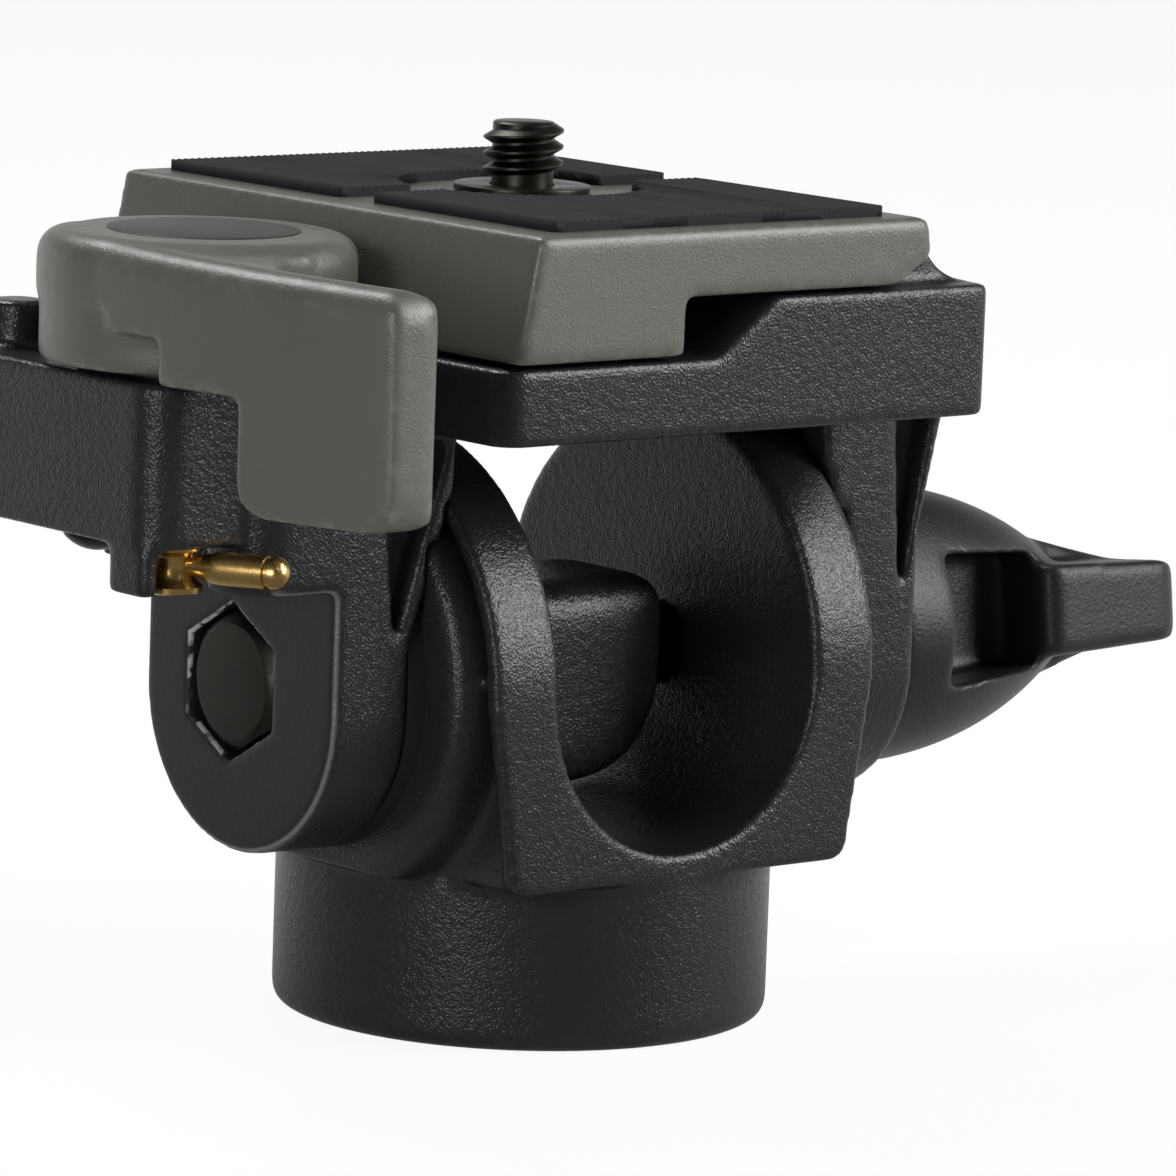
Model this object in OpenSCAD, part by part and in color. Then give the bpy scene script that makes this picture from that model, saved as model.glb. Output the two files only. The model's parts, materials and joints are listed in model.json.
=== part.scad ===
// Monopod tilt head with a quick-release plate.
// Origin: centre of the foot's underside. +Z up, +X along the tilt bolt towards the knob, +Y to the back.

/* [Foot] */
// Diameter of the round foot
foot_d = 39.6; // [36:0.2:42]
// Height of the foot below the fork
foot_h = 13.4; // [12.6:0.2:16]
// Rounding of the foot's lower edge
foot_round = 1.2; // [0.4:0.1:2.5]
// Diameter of the monopod thread in the foot
thread_d = 9.525; // [6.35:0.005:9.525]
// Depth of the monopod thread
thread_depth = 10.5; // [8:0.5:11]

/* [Fork] */
// Height of the tilt axis above the foot's underside
axis_z = 28.4; // [27.6:0.2:32]
// Length of the fork from front to back, which is also its round top's diameter
fork_len = 39.6; // [38:0.2:40.4]
// Width of the fork at its lower edge
fork_low_w = 33.8; // [32:0.2:37]
// Width of the fork from the axis upwards
fork_w = 38.6; // [37:0.2:39.4]
// Radius of the U channel between the cheeks
slot_r = 13; // [11.5:0.1:13.4]
// Half distance between the sunk flanks of the cheeks
flank_x = 16.4; // [15.6:0.1:17.4]
// Thickness of the rim round each cheek's flank
rim_t = 1.5; // [1:0.1:1.9]
// Radius of the drum on each cheek
drum_r = 17.6; // [16.4:0.1:17.8]
// Half distance between the drums' outer faces
drum_x = 21.2; // [20.4:0.1:21.8]
// Half width of the bolt boss inside the channel
boss_r = 7; // [5.5:0.1:7]
// Distance from the boss's end to the far cheek
boss_gap = 4.5; // [3:0.1:7]
// Height of the boss's top above the tilt axis
boss_rise = 6.7; // [5.5:0.1:7]
// Depth of the boss's underside below the tilt axis
boss_drop = 9.9; // [8:0.1:11]

/* [Tilt bolt] */
// Diameter of the tilt bolt
bolt_d = 6; // [5:0.5:6]
// Hex head of the tilt bolt, across flats
bolt_head_af = 10; // [9:0.5:11]
// Height of the hex head
bolt_head_h = 4; // [3:0.1:4.4]
// Chamfer round the hex head, measured on its face
bolt_chamfer = 0.5; // [0.1:0.1:0.8]
// Depth from the ear's face to the hex head
bolt_head_sink = 0.2; // [0.1:0.1:1.2]
// Radius of the friction discs
disc_r = 13.5; // [12.8:0.1:14.2]
// Thickness of the friction discs
disc_t = 1.5; // [1:0.1:2]

/* [Platform] */
// Height of the platform's underside above the tilt axis
deck_rise = 21; // [20.8:0.1:24]
// Thickness of the platform under the plate's deep flange
deck_t = 5.9; // [5:0.1:7]
// Length of the platform from front to back
deck_len = 52.4; // [50:0.2:56]
// Left edge of the platform, from the foot's axis
deck_left = 24.7; // [24.4:0.1:25.4]
// Right edge of the platform, from the foot's axis
deck_right = 24.1; // [23:0.1:26]
// Height of the fixed jaw above the raised deck
jaw_h = 4.4; // [3.6:0.1:4.6]
// Fillet at the foot of the ramp between the low and the raised deck
ramp_fillet = 2.4; // [1:0.1:3]
// Rounding at the top of the ramp
ramp_round = 1; // [0.4:0.1:1.6]
// How far the jaw's ends stand back from the platform's ends
jaw_back = 2.5; // [1:0.1:4]
// Radius of the hollow along the jaw's back
jaw_hollow_r = 5.9; // [5:0.1:6.2]

/* [Ears] */
// Radius of the ears' round lower ends
ear_r = 12.2; // [11.4:0.1:12.8]
// How far the ears stand forward of the tilt axis
ear_forward = 1.2; // [0:0.1:1.4]
// How far the ears' round ends lie below the tilt axis
ear_drop = 1; // [0:0.1:1.4]
// Thickness of the left ear
left_ear_t = 7.1; // [6.4:0.1:8]
// Thickness of the right ear
right_ear_t = 6.4; // [5:0.1:7]
// Thickness of the ribs along the ears' front and back edges
rib_t = 3.4; // [2.4:0.1:4]
// Depth of the three-cornered hollows in the ears' edges
hollow_depth = 2.6; // [1.5:0.1:3]

/* [Quick plate] */
// Width of the plate's top
plate_w = 38.8; // [37:0.2:40]
// Length of the plate
plate_len = 53.2; // [50:0.2:58]
// Height of the plate on the lever side
plate_h = 9.75; // [9:0.05:11]
// Thickness of the plate's web
plate_web = 5.25; // [5:0.05:5.8]
// Offset of the plate's middle from the foot's axis
plate_off = -2.5; // [-3:0.1:-2]
// How far the lever-side flank leans out at its foot
dovetail = 1.9; // [1.4:0.1:2.2]
// Width of the deep flange at its underside
flange_w = 16.4; // [14:0.2:17]
// How far the nose stands out on the jaw side
nose = 0.8; // [0.5:0.1:1.1]
// Gap between the plate and what holds it
plate_gap = 0.3; // [0.2:0.05:0.4]
// Corner radius of the plate seen from above
plate_corner = 1; // [0.5:0.1:2]
// Thickness of the rubber pads
pad_t = 0.85; // [0.6:0.05:1.4]
// Width of the bare stretch between the pads
pad_gap = 4; // [3:0.5:12]

/* [Camera screw] */
// Diameter of the camera screw's thread
cam_d = 6.35; // [6.35:0.005:9.525]
// How far the thread stands above the plate
cam_reach = 5.65; // [4:0.05:6.5]
// Diameter of the slotted head under the plate
cam_head_d = 13; // [12:0.5:14]

/* [Lever] */
// Radius of the lever's hub at its top
hub_r = 12.3; // [11.6:0.1:12.8]
// How far the hub swells on the side away from the plate
hub_swell = 0.5; // [0:0.1:0.8]
// Height of the lever's hub
hub_h = 8.9; // [8.4:0.1:9.2]
// Depth of the lever's top below the plate's top
lever_drop = 1.45; // [1:0.05:1.8]
// Place of the lever's pivot along Y
pivot_y = -1.7; // [-2.2:0.1:-1.2]
// Thickness of the lever's arm
arm_t = 4.6; // [4.3:0.1:6]
// Rounding of the lever's top edges
lever_round = 2; // [1:0.1:2.1]
// Angle at which the arm's top falls away from the hub
arm_dip = 1.9; // [0:0.1:3]
// Reach of the lever's arm from its pivot
arm_reach = 32.8; // [31:0.1:36]
// Height of the thumb tab, from its lower edge to the lever's top
tab_h = 18.9; // [15:0.1:20]
// Width of the thumb tab along the arm
tab_w = 14.2; // [13:0.2:14.4]
// Corner radius of the thumb tab
tab_round = 2.5; // [1:0.1:3]

/* [Lever housing] */
// Reach of the lever housing to the left of the lever's pivot
house_left = 11.2; // [10.6:0.1:13.2]
// Front face of the lever housing
house_front = 11.5; // [11.2:0.1:12.4]
// Back face of the lever housing
house_back = 18; // [17:0.2:22]
// Height of the lever housing
house_h = 12.5; // [12:0.1:13.4]
// Corner radius of the lever housing
house_corner = 3; // [1.5:0.1:4]

/* [Knob] */
// Radius of the knob's skirt
knob_r = 11.6; // [11:0.1:13]
// Length of the knob's dome
dome_len = 23.8; // [21:0.2:25]
// How far the dome closes in at its end
dome_drop = 6.2; // [5:0.1:7]
// Total length of the knob
knob_len = 34.8; // [32:0.2:38]
// Width of the knob's wing
wing_w = 17; // [14:0.5:20]
// Thickness of the web between the knob's finger pockets
knob_web = 4.4; // [3:0.2:6]
// Thickness of the knob's wing at its tip
wing_t = 6.6; // [5:0.1:8]
// Turn of the wing out of level
wing_turn = 7; // [0:1:40]

/* [Hidden] */
$fn = 96;
eps = 0.01;
cut = 1;
run = 0.06;
face_gap = 0.1;
clear = 0.3;
hole_gap = 0.2;
cheek_r = fork_len / 2;
bolt_r = bolt_d / 2;
ear_in = drum_x + disc_t + face_gap;
left_face = ear_in + left_ear_t;
ear_front = -ear_forward - ear_r;
ear_rear = -ear_forward + ear_r;
right_face = ear_in + right_ear_t;
recess_depth = bolt_head_sink + bolt_head_h + face_gap;
head_x = -left_face + bolt_head_sink;
// Heights of the platform and of the plate on it
deck_z = axis_z + deck_rise;
floor_z = deck_z + deck_t;
plate_z = floor_z + plate_gap;
plate_top = plate_z + plate_h;
web_z = plate_top - plate_web;
raised_z = web_z - plate_gap;
jaw_z = raised_z + jaw_h;
// Points of the plate's end view
plate_left = plate_off - plate_w / 2;
plate_right = plate_off + plate_w / 2;
flange_x = plate_left - dovetail + flange_w;
nose_z = plate_top - plate_web * 0.56;
nose_root = plate_right - 2.9;
ramp_low = flange_x + 3.6;
ramp_high = ramp_low + 5.8;
// The lever turns on a cone that follows the plate's leaning flank
lean = dovetail / plate_h;
lever_top = plate_top - lever_drop;
hub_z = lever_top - hub_h;
hub_low_r = hub_r - hub_h * lean;
pivot_x = plate_left - lever_drop * lean - plate_gap * 1.1 - hub_r;
house_z = hub_z - 1.5;
house_low = house_z - house_h;
house_x = pivot_x - house_left;
root_low = axis_z + 8.8;
root_left = left_face + 4.6;
root_rib = root_left + 3.7;
arm_arc = 100;
arm_mid = arm_arc - arm_t / 2;
out_r = hub_r + hub_swell;
arm_cx = pivot_x - out_r + 0.3 + arm_arc;
tab_end_y = pivot_y - arm_reach;
tip_y = tab_end_y + arm_t / 2;
tip_x = arm_cx - sqrt(arm_mid ^ 2 - (tip_y - pivot_y) ^ 2);
tab_z = lever_top - tab_h;
tab_left = tab_end_y + tab_w;
tab_top = lever_top - (pivot_y - tab_end_y) * sin(arm_dip);
neck_r = 8;
away = 215;
neck_x = arm_cx - arm_arc + arm_t + neck_r + 1.2;
neck_y = pivot_y - sqrt((out_r + neck_r) ^ 2 - (neck_x - pivot_x) ^ 2);
// Pieces inside the lever housing
shoulder_r = 4;
pivot_head_r = 4.8;
pivot_head_h = 2.6;
pivot_thread_r = 3;
spring_pit_r = 7.4;
spring_coil_r = 5.9;
spring_pit_z = house_low + 6;
catch_r = 2.4;
catch_x = pivot_x - 6.8;
catch_y = pivot_y - 6.3;
catch_low = house_low - 3.6;
catch_stem = 5.2;
finger_r = 1.3;
finger_z = catch_low + 2.1;
finger_len = 9.6;
finger_turn = -60;
anchor_x = pivot_x - 5.7;
anchor_y = pivot_y + 4.9;
anchor_r = 1.5;
// Pieces of the trigger under the plate
trigger_x = plate_off - 6.7;
trigger_y = 10;
trigger_r = 1.8;
trigger_flange_r = 2.4;
collar_r = trigger_flange_r + run;
collar_h = 1.4;
trigger_low = deck_z + 0.9;
trigger_spring_h = 2.1;
flange_h = 0.8;
// Pieces on the knob's side
washer_t = 1.2;
washer_r = 8;
wave_t = 0.6;
wave_r = 6.5;
knob_x = right_face + 0.5;
seat_x = right_face + washer_t + wave_t + face_gap;
nut_h = 3.2;
bolt_end = seat_x + nut_h + 0.2;
nut_af = 10;
skirt = 3.5;
// The camera screw's plain neck and the clip in it
neck_d = 5.2;
clip_t = 0.6;
clip_r = 5.4;
thread_z = plate_top + face_gap + clip_t + 0.05;
dome_arc = (dome_len - skirt) ^ 2 / (2 * dome_drop) + dome_drop / 2;

// Outlines and placing

function unit(v) = v / norm(v);
function corner_half(p, i) = let (n = len(p), a = unit(p[(i + n - 1) % n] - p[i]),
    b = unit(p[(i + 1) % n] - p[i])) acos(a * b) / 2;
function corner_in(p, i) = let (n = len(p)) unit(p[(i + n - 1) % n] - p[i]);
function corner_out(p, i) = let (n = len(p)) unit(p[(i + 1) % n] - p[i]);

// A convex outline whose corners are true arcs of the radii in r
module rounded_outline(p, r) {
    polygon([for (i = [0 : len(p) - 1]) let (d = r[i] / tan(corner_half(p, i)))
        each r[i] > 0 ? [p[i] + corner_in(p, i) * d, p[i] + corner_out(p, i) * d] : [p[i]]]);
    for (i = [0 : len(p) - 1])
        if (r[i] > 0)
            translate(p[i] + unit(corner_in(p, i) + corner_out(p, i)) * r[i] / sin(corner_half(p, i)))
                circle(r[i]);
}

module box_outline(x0, y0, x1, y1, r) {
    rounded_outline([[x0, y0], [x1, y0], [x1, y1], [x0, y1]], [r, r, r, r]);
}

// A front view (x, z) drawn out along Y from y0 to y1
module along_y(y0, y1) {
    translate([0, y1, 0]) rotate([90, 0, 0]) linear_extrude(y1 - y0) children();
}

// A side view (y, z) drawn out along X from x0 to x1
module along_x(x0, x1) {
    translate([x0, 0, 0]) rotate([90, 0, 90]) linear_extrude(x1 - x0) children();
}

// A round bar on the tilt axis from x0 to x1
module axle(r, x0, x1) {
    translate([x0, 0, axis_z]) rotate([0, 90, 0]) cylinder(r = r, h = x1 - x0);
}

// A ring standing on height z at (x, y)
module ring(x, y, z, r_out, r_in, h) {
    translate([x, y, z]) difference() {
        cylinder(r = r_out, h = h);
        translate([0, 0, -cut]) cylinder(r = r_in, h = h + 2 * cut);
    }
}

// An unbroken coil of round wire: six sides, eight rings a turn
function coil_point(r, pitch, a) = [r * cos(a), r * sin(a), pitch * a / 360];
function coil_ring(r, pitch, wire_r, a) = [for (k = [0 : 5]) let (b = 60 * k)
    coil_point(r + wire_r * cos(b), pitch, a) + [0, 0, wire_r * sin(b)]];
module coil(r, wire_r, pitch, turns) {
    n = 8 * turns;
    rings = [for (i = [0 : n]) each coil_ring(r, pitch, wire_r, 45 * i)];
    sides = [for (i = [0 : n - 1], k = [0 : 5]) let (a = 6 * i + k, b = 6 * i + (k + 1) % 6)
        each [[a, a + 6, b], [b, a + 6, b + 6]]];
    caps = [for (k = [1 : 4]) each [[0, k, k + 1], [6 * n, 6 * n + k + 1, 6 * n + k]]];
    echo(str("least gap between turns ", pitch - 2 * wire_r));
    polyhedron(rings, concat(sides, caps));
}

// Base

module foot() {
    rotate_extrude() {
        square([foot_d / 2 - foot_round, foot_h]);
        square([slot_r, foot_h + 1]);
        translate([0, foot_round]) square([foot_d / 2, foot_h - foot_round]);
        translate([foot_d / 2 - foot_round, foot_round]) circle(foot_round);
    }
}

// Side view of a cheek: straight below the axis, round above it
module cheek_outline(r, low) {
    translate([0, axis_z]) circle(r);
    translate([-r, low]) square([2 * r, axis_z - low]);
}

module fork_outline() {
    low = fork_low_w / 2;
    wide = fork_w / 2;
    top = axis_z + cheek_r + cut;
    rounded_outline([[-low, foot_h], [low, foot_h], [wide, axis_z], [wide, top], [-wide, top],
        [-wide, axis_z]], [1.6, 1.6, 0, 0, 0, 0]);
}

// Drum of one cheek with a rounded outer edge, cut level with the fork's underside
module drum() {
    soft = 1.6;
    root = flank_x - 2;
    intersection() {
        translate([0, 0, axis_z]) rotate([0, 90, 0]) rotate_extrude() {
            translate([0, root]) square([drum_r, drum_x - soft - root]);
            translate([0, root]) square([drum_r - soft, drum_x - root]);
            translate([drum_r - soft, drum_x - soft]) circle(soft);
        }
        translate([root, -cheek_r, foot_h]) cube([drum_x, 2 * cheek_r, 2 * axis_z]);
    }
}

// Cheeks with sunk flanks, which leave a rim round the front, top and back
module cheeks() {
    intersection() {
        along_y(-cheek_r, cheek_r) fork_outline();
        difference() {
            along_x(-fork_w, fork_w) cheek_outline(cheek_r, foot_h);
            for (side = [0, 1])
                mirror([side, 0, 0]) along_x(flank_x, fork_w + cut)
                    cheek_outline(cheek_r - rim_t, foot_h - cut);
        }
    }
}

// Boss that carries the bolt inside the channel: flat-sided, its end drawn back towards the floor
module boss() {
    end = slot_r - boss_gap;
    low = axis_z - boss_drop;
    high = axis_z + boss_rise;
    root = -slot_r - cut;
    intersection() {
        along_x(root, end) box_outline(-boss_r, low, boss_r, high, 2.6);
        along_y(-cheek_r, cheek_r)
            rounded_outline([[root, low - 0.1], [end, low - 0.1], [end, high + 0.1], [root, high + 0.1]],
                [0, 9, 1.2, 0]);
    }
}

module base_casting() {
    color("#2c2c2e") difference() {
        union() {
            foot();
            difference() {
                union() {
                    cheeks();
                    drum();
                    mirror([1, 0, 0]) drum();
                }
                along_y(-cheek_r - cut, cheek_r + cut) {
                    translate([0, axis_z]) circle(slot_r);
                    translate([-slot_r, axis_z]) square([2 * slot_r, cheek_r + 2 * cut]);
                }
            }
            boss();
        }
        axle(bolt_r + run, -drum_x - cut, drum_x + cut);
        translate([0, 0, -cut]) cylinder(d = thread_d, h = thread_depth + cut);
    }
}

module friction_disc(side) {
    color("#3a3a38") mirror([side < 0 ? 1 : 0, 0, 0]) difference() {
        axle(disc_r, drum_x, drum_x + disc_t);
        axle(bolt_r + run, drum_x - cut, drum_x + disc_t + cut);
    }
}

// Platform

// End view of the deck: low under the plate's flange, raised towards the jaw
module deck_outline() {
    translate([-deck_left, deck_z]) square([deck_left + deck_right, deck_t]);
    rounded_outline([[ramp_low, floor_z], [ramp_low, deck_z + 1], [deck_right, deck_z + 1],
        [deck_right, raised_z], [ramp_high, raised_z]], [0, 0, 0, 0, ramp_round]);
    ramp_foot();
}

// Hollow corner at the foot of the ramp, whose arc crosses the floor at a small angle
module ramp_foot() {
    rise = unit([ramp_high - ramp_low, raised_z - floor_z]);
    half = acos(-rise[0]) / 2;
    reach = ramp_fillet / tan(half);
    corner = [ramp_low, floor_z];
    middle = unit(rise - [1, 0]);
    difference() {
        polygon([corner - [reach, 0], corner - [0, 0.5], corner + rise * reach]);
        translate(corner + middle * ramp_fillet / sin(half)) circle(ramp_fillet + 0.03);
    }
}

// Fixed jaw over the plate's nose, hollow along its back
module jaw_outline() {
    difference() {
        polygon([[nose_root + plate_gap, raised_z - eps], [deck_right, raised_z - eps], [deck_right, jaw_z],
            [plate_right + plate_gap + (nose + 0.05) * 0.35, jaw_z],
            [plate_right + nose + plate_gap, nose_z]]);
        translate([deck_right + 0.2, raised_z + jaw_hollow_r]) circle(jaw_hollow_r);
    }
}

module deck() {
    jaw_end = deck_len / 2 - jaw_back;
    intersection() {
        along_y(-deck_len / 2, deck_len / 2) deck_outline();
        linear_extrude(2 * raised_z)
            rounded_outline([[-deck_left, -deck_len / 2], [deck_right, -deck_len / 2],
                [deck_right, deck_len / 2], [-deck_left, deck_len / 2]], [2, 1, 1, 2]);
    }
    along_y(-jaw_end, jaw_end) jaw_outline();
}

// An ear: straight down from the deck, round about the tilt axis
module ear(x0, x1) {
    along_x(x0, x1) {
        translate([-ear_forward, axis_z - ear_drop]) circle(ear_r);
        translate([ear_front, axis_z - ear_drop]) square([2 * ear_r, deck_rise + ear_drop + eps]);
    }
}

// Rib along one edge of an ear: flares to the deck and stays clear of the turning fork and knob
module ear_rib(y0, flare_out) {
    low = axis_z + 4;
    fork_side = fork_w / 2;
    along_y(y0, y0 + rib_t) polygon([[ear_in, low], [right_face, low], [right_face, axis_z + 9.5],
        [right_face + flare_out, deck_z + eps], [fork_side - 0.8, deck_z + eps],
        [fork_side - 0.4, axis_z + 15.5], [fork_side + 0.6, axis_z + 12.6]]);
}

// Three-cornered hollow in an ear's edge, its point downwards
module ear_hollow(y0, tip_in, side_in, side_out) {
    along_y(y0, y0 + hollow_depth) polygon([[ear_in + tip_in, axis_z + 4],
        [ear_in + side_out, deck_z - 1.2], [ear_in + side_in, deck_z - 1.2]]);
}

// Space that the fork's cheeks, drums and discs turn in
module fork_room() {
    axle(cheek_r + clear, -fork_w / 2 - clear, fork_w / 2 + clear);
    axle(drum_r + clear, -drum_x - face_gap, drum_x + face_gap);
    axle(disc_r + clear, -ear_in, ear_in);
}

module lever_housing() {
    translate([0, 0, house_low]) linear_extrude(house_h)
        rounded_outline([[house_x, -house_front], [-ear_in, -house_front], [-ear_in, house_back],
            [house_x, house_back]], [house_corner, 0, 0, house_corner]);
    // Root block above the left ear
    translate([-root_left, ear_front, root_low])
        cube([root_left - ear_in, 2 * ear_r, house_z - root_low]);
    // Rounded rib in front of it, clear of the catch's finger
    translate([0, 0, root_low]) linear_extrude(house_z - root_low)
        rounded_outline([[-root_rib, ear_front], [-root_left + cut, ear_front],
            [-root_left + cut, ear_front + 6.2], [-root_rib, ear_front + 6.2]], [4, 0, 0, 1]);
    // Lug that stops the catch
    translate([0, 0, catch_low]) linear_extrude(house_low - catch_low + eps)
        box_outline(house_x, -house_front + 1, house_x + 1.6, -house_front + 6, 0.7);
    // Post that stops the open lever
    translate([pivot_x - 5.7, house_back - 3.6, house_z - eps]) cylinder(r = 2.4, h = 3.6);
}

module platform_casting() {
    hex_d = (bolt_head_af + 0.7) / cos(30);
    color("#2c2c2e") difference() {
        union() {
            deck();
            ear(-left_face, -ear_in);
            ear(ear_in, right_face);
            for (y0 = [ear_front, ear_rear - rib_t]) {
                ear_rib(y0, 2.6);
                mirror([1, 0, 0]) ear_rib(y0, 1);
            }
            lever_housing();
        }
        fork_room();
        for (y0 = [ear_front - eps, ear_rear - hollow_depth + eps]) {
            ear_hollow(y0, 4.7, 3.6, 7.4);
            mirror([1, 0, 0]) ear_hollow(y0, 1.3, -3.4, 2.9);
        }
        // Bolt hole and hex recess
        axle(bolt_r + hole_gap, -left_face - cut, right_face + cut);
        translate([-left_face - cut, 0, axis_z]) rotate([0, 90, 0])
            cylinder(d = hex_d, h = recess_depth + cut, $fn = 6);
        // Lever pivot, its spring's pit and its sunk head
        translate([pivot_x, pivot_y, house_low - cut]) {
            cylinder(r = shoulder_r + run, h = house_h + 2 * cut);
            cylinder(r = pivot_head_r + hole_gap, h = pivot_head_h + 2 * face_gap + 0.2 + cut);
        }
        // Way for the pivot's head past the root block
        translate([pivot_x, pivot_y, root_low - eps])
            cylinder(r = pivot_head_r + hole_gap, h = house_low - root_low);
        translate([pivot_x, pivot_y, spring_pit_z]) cylinder(r = spring_pit_r, h = house_h);
        // Room for the lever's hub over the deck's edge
        translate([pivot_x, pivot_y, hub_z - face_gap]) cylinder(r = hub_low_r + 2 * clear, h = deck_t);
        // Catch and spring screw
        translate([catch_x, catch_y, house_low - cut])
            cylinder(r = catch_r + run, h = catch_stem + clear + cut);
        translate([anchor_x, anchor_y, house_low - cut]) cylinder(r = anchor_r, h = 5 + cut);
        // Trigger
        translate([trigger_x, trigger_y, trigger_low]) cylinder(r = collar_r, h = deck_t);
    }
}

module tilt_bolt() {
    color("#35352f") {
        intersection() {
            translate([head_x, 0, axis_z]) rotate([0, 90, 0])
                cylinder(d = bolt_head_af / cos(30), h = bolt_head_h, $fn = 6);
            // Chamfer of 30 degrees round the head's face
            translate([head_x, 0, axis_z]) rotate([0, 90, 0])
                cylinder(r1 = bolt_head_af / 2 - bolt_chamfer,
                    r2 = bolt_head_af / 2 - bolt_chamfer + bolt_head_af / tan(30), h = bolt_head_af);
        }
        axle(bolt_r, head_x + bolt_head_h - eps, bolt_end);
    }
}

module thrust_washer() {
    color("#8a8a86") difference() {
        axle(washer_r, right_face, right_face + washer_t);
        axle(bolt_r + hole_gap, right_face - cut, right_face + washer_t + cut);
    }
}

module spring_washer() {
    wave_x = right_face + washer_t;
    color("#77777a") difference() {
        axle(wave_r, wave_x, wave_x + wave_t);
        axle(bolt_r + hole_gap, wave_x - cut, wave_x + wave_t + cut);
    }
}

// Knob

module knob_dome() {
    translate([knob_x, 0, axis_z]) rotate([0, 90, 0]) rotate_extrude() intersection() {
        translate([knob_r - dome_arc, skirt]) circle(dome_arc);
        union() {
            square([knob_r - 0.8, dome_len]);
            translate([0, 0.8]) square([knob_r, dome_len - 0.8]);
            translate([knob_r - 0.8, 0.8]) circle(0.8);
        }
    }
    translate([knob_x, 0, axis_z]) rotate([0, 90, 0]) rotate_extrude() {
        square([knob_r - 0.8, skirt]);
        translate([0, 0.8]) square([knob_r, skirt - 0.8]);
        translate([knob_r - 0.8, 0.8]) circle(0.8);
    }
}

// Cross wing: tapered seen from the front, round-cornered seen from above
module knob_wing() {
    x0 = knob_x + dome_len - 4.6;
    x1 = knob_x + knob_len;
    web_x = x0 - 4;
    intersection() {
        translate([0, 0, axis_z]) linear_extrude(4 * wing_t, center = true)
            rounded_outline([[x0, -wing_w / 2], [x1, -wing_w / 2], [x1, wing_w / 2], [x0, wing_w / 2]],
                [1.6, 3, 3, 1.6]);
        along_y(-wing_w, wing_w)
            rounded_outline([[x0, axis_z - wing_t / 2 - 0.6], [x1, axis_z - wing_t / 2],
                [x1, axis_z + wing_t / 2], [x0, axis_z + wing_t / 2 + 0.6]], [0, 1.4, 1.4, 0]);
    }
    // Web that carries the wing out of the dome, its ridge falling towards the tip
    along_y(-knob_web / 2, knob_web / 2) polygon([[web_x, axis_z - 8], [x1 - 0.4, axis_z - wing_t / 2 + 0.4],
        [x1 - 0.4, axis_z + wing_t / 2 - 0.4], [web_x, axis_z + 8]]);
}

module finger_pocket() {
    x0 = knob_x + 6.2;
    x1 = knob_x + dome_len - 4.2;
    along_y(-knob_r - cut, -knob_web / 2)
        rounded_outline([[x0, axis_z - 5.2], [x1, axis_z - 4.4], [x1, axis_z + 4.8], [x0, axis_z + 5.6]],
            [0.8, 1.6, 1.6, 0.8]);
}

// Turns a piece about the tilt axis
module about_axis(angle) {
    translate([0, 0, axis_z]) rotate([angle, 0, 0]) translate([0, 0, -axis_z]) children();
}

module tilt_knob() {
    color("#262627") about_axis(-wing_turn) difference() {
        union() {
            difference() {
                knob_dome();
                finger_pocket();
                about_axis(180) finger_pocket();
            }
            knob_wing();
        }
        // Seat for the washers, the nut's socket and the way for the bolt's end
        axle(washer_r + 0.4, knob_x - cut, seat_x);
        translate([seat_x - cut, 0, axis_z]) rotate([0, 90, 0])
            cylinder(d = nut_af / cos(30), h = nut_h + cut, $fn = 6);
        axle(bolt_r + hole_gap, knob_x - cut, bolt_end + clear);
    }
}

module knob_nut() {
    color("#b08d4a") about_axis(-wing_turn) difference() {
        translate([seat_x, 0, axis_z]) rotate([0, 90, 0])
            cylinder(d = nut_af / cos(30), h = nut_h, $fn = 6);
        axle(bolt_r + run, seat_x - cut, seat_x + nut_h + cut);
    }
}

// Lever and what carries it

// A block turned about its own axis, with its top at height 0 and a rounded top edge
module crowned(r, depth) {
    rotate_extrude() intersection() {
        rounded_outline([[0, -depth], [r, -depth], [r, 0], [0, 0]], [0, 0, lever_round, 0]);
        translate([0, -depth - cut]) square([r + cut, depth + 2 * cut]);
    }
}

// Bowed arm with both top edges rounded, trimmed to a round end
module lever_arm() {
    deep = tab_h + cut;
    root_y = pivot_y + cut;
    intersection() {
        translate([arm_cx, pivot_y, lever_top]) rotate([arm_dip, 0, 0]) rotate_extrude()
            translate([arm_arc - arm_t, 0])
                rounded_outline([[0, -deep], [arm_t, -deep], [arm_t, 0], [0, 0]],
                    [0, 0, lever_round, lever_round]);
        translate([0, 0, tab_z - cut]) linear_extrude(deep + cut)
            rounded_outline([[tip_x - 3, tab_end_y], [tip_x + 3, tab_end_y],
                [tip_x + 10, root_y], [tip_x - 12, root_y]], [2.2, 2.2, 0, 0]);
    }
}

// Hollow corner between hub and arm
module lever_neck() {
    translate([0, pivot_y, lever_top]) rotate([arm_dip, 0, 0]) translate([0, -pivot_y, -tab_h])
        linear_extrude(tab_h - 0.2) difference() {
            polygon([[pivot_x, pivot_y], [neck_x, neck_y], [neck_x - neck_r - 2, neck_y],
                [pivot_x - out_r + lever_round, pivot_y]]);
            translate([neck_x, neck_y]) circle(neck_r);
        }
}

// Side view of the lever: a stepped skirt with the thumb tab at its end
module lever_side() {
    step_y = pivot_y - 10.3;
    step_z = lever_top - 10.2;
    skirt_z = lever_top - 6.8;
    notch_y = pivot_y - 4.4;
    notch = 1.7;
    back_y = pivot_y + out_r;
    tab_mid = tab_left - tab_w / 2;
    polygon([[tab_mid, step_z], [step_y, step_z], [step_y, skirt_z], [notch_y, skirt_z],
        [notch_y, skirt_z + notch], [back_y, skirt_z + notch], [back_y, lever_top], [tab_mid, lever_top]]);
    rounded_outline([[tab_end_y, tab_z], [tab_left, tab_z], [tab_left, lever_top], [tab_end_y, tab_top]],
        [tab_round, tab_round, 0, tab_round]);
}

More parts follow.
